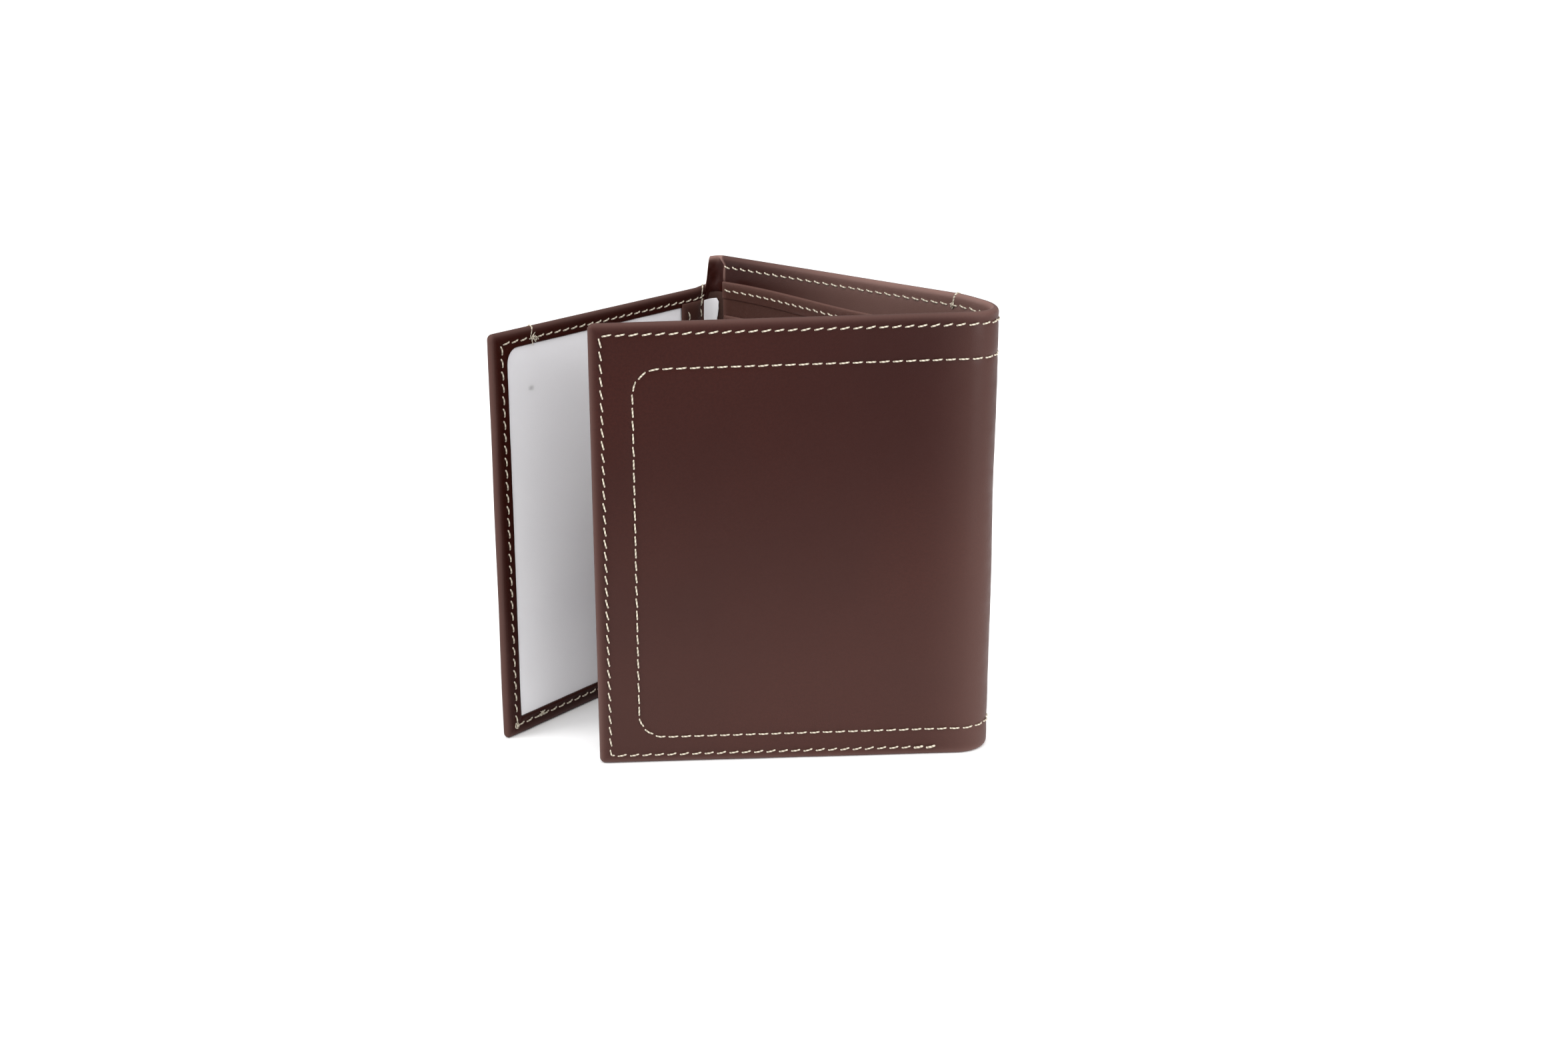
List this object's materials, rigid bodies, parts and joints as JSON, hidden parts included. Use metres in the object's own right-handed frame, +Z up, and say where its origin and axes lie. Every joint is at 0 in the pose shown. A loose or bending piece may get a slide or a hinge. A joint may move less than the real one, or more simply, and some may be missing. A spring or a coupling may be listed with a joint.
{
  "type": "trifold wallet",
  "caption": "Brown leather trifold wallet standing half open, with a bill compartment, card pockets and a clear-window flap.",
  "frame": {"origin": "middle of the centre panel's lower edge, on the surface the wallet stands on, in line with the fold lines", "axes": "+Z up the panels, +X along the centre panel towards the wide spine, +Y out of the centre panel's back"},
  "size_m": [0.1004, 0.0832, 0.108],
  "materials": {
    "outer_leather": "satin, fine grain",
    "inner_leather": "satin, smooth",
    "lining": "matt",
    "fold_edge": "matt, painted raw edge",
    "stiffener": "matt board",
    "thread": "waxed thread",
    "white_backing": "matt sheet",
    "clear_film": "clear satin sheet"
  },
  "bodies": {
    "centre": {"centre_outer_leather": "outer_leather", "centre_stiffener": "stiffener", "centre_lining": "lining", "centre_top_hem": "outer_leather", "bill_compartment_floor": "lining", "centre_card_panel": "inner_leather", "centre_card_pocket_top": "inner_leather", "centre_card_pocket_upper": "inner_leather", "centre_card_pocket_lower": "inner_leather", "centre_card_pocket_bottom": "inner_leather", "centre_card_panel_thread": "thread", "centre_top_seam_thread": "thread", "centre_foot_seam_thread": "thread", "centre_panel_seam_thread": "thread"},
    "right_spine": {"right_spine_leather": "outer_leather", "right_spine_lining": "lining", "right_spine_top_thread": "thread", "right_spine_upper_thread": "thread", "right_spine_lower_thread": "thread"},
    "front": {"front_outer_leather": "outer_leather", "front_stiffener": "stiffener", "front_lining": "lining", "front_top_hem": "outer_leather", "front_card_panel": "inner_leather", "front_card_pocket_top": "inner_leather", "front_card_pocket_bottom": "inner_leather", "front_edge_seam_thread": "thread", "front_panel_seam_thread": "thread"},
    "left_spine": {"left_spine_leather": "fold_edge", "left_spine_lining": "lining"},
    "flap": {"flap_outer_leather": "outer_leather", "flap_backing": "white_backing", "flap_window_film": "clear_film", "flap_top_hem": "inner_leather", "flap_foot_hem": "inner_leather", "flap_end_hem": "inner_leather", "flap_window_strip": "inner_leather", "flap_seam_thread": "thread", "flap_strip_fold_thread": "thread", "flap_strip_window_thread": "thread"}
  },
  "joints": [
    {"name": "right_fold", "type": "hinge", "parent": "centre", "child": "right_spine", "pos_m": [0.046, 0, 0], "axis": [0, 0, -1], "range_deg": [-66.4, 22.6]},
    {"name": "front_fold", "type": "hinge", "parent": "right_spine", "child": "front", "pos_m": [0.05016, -0.00953, 0], "axis": [0, 0, -1], "range_deg": [-66.4, 22.6]},
    {"name": "left_fold", "type": "hinge", "parent": "centre", "child": "left_spine", "pos_m": [-0.046, 0, 0], "axis": [0, 0, 1], "range_deg": [-48.6, 3]},
    {"name": "flap_fold", "type": "hinge", "parent": "left_spine", "child": "flap", "pos_m": [-0.04931, -0.00375, 0], "axis": [0, 0, 1], "range_deg": [-48.6, 3]}
  ],
  "couplings": [
    {"joint": "right_fold", "follows": "front_fold", "ratio": 1},
    {"joint": "left_fold", "follows": "flap_fold", "ratio": 1}
  ]
}
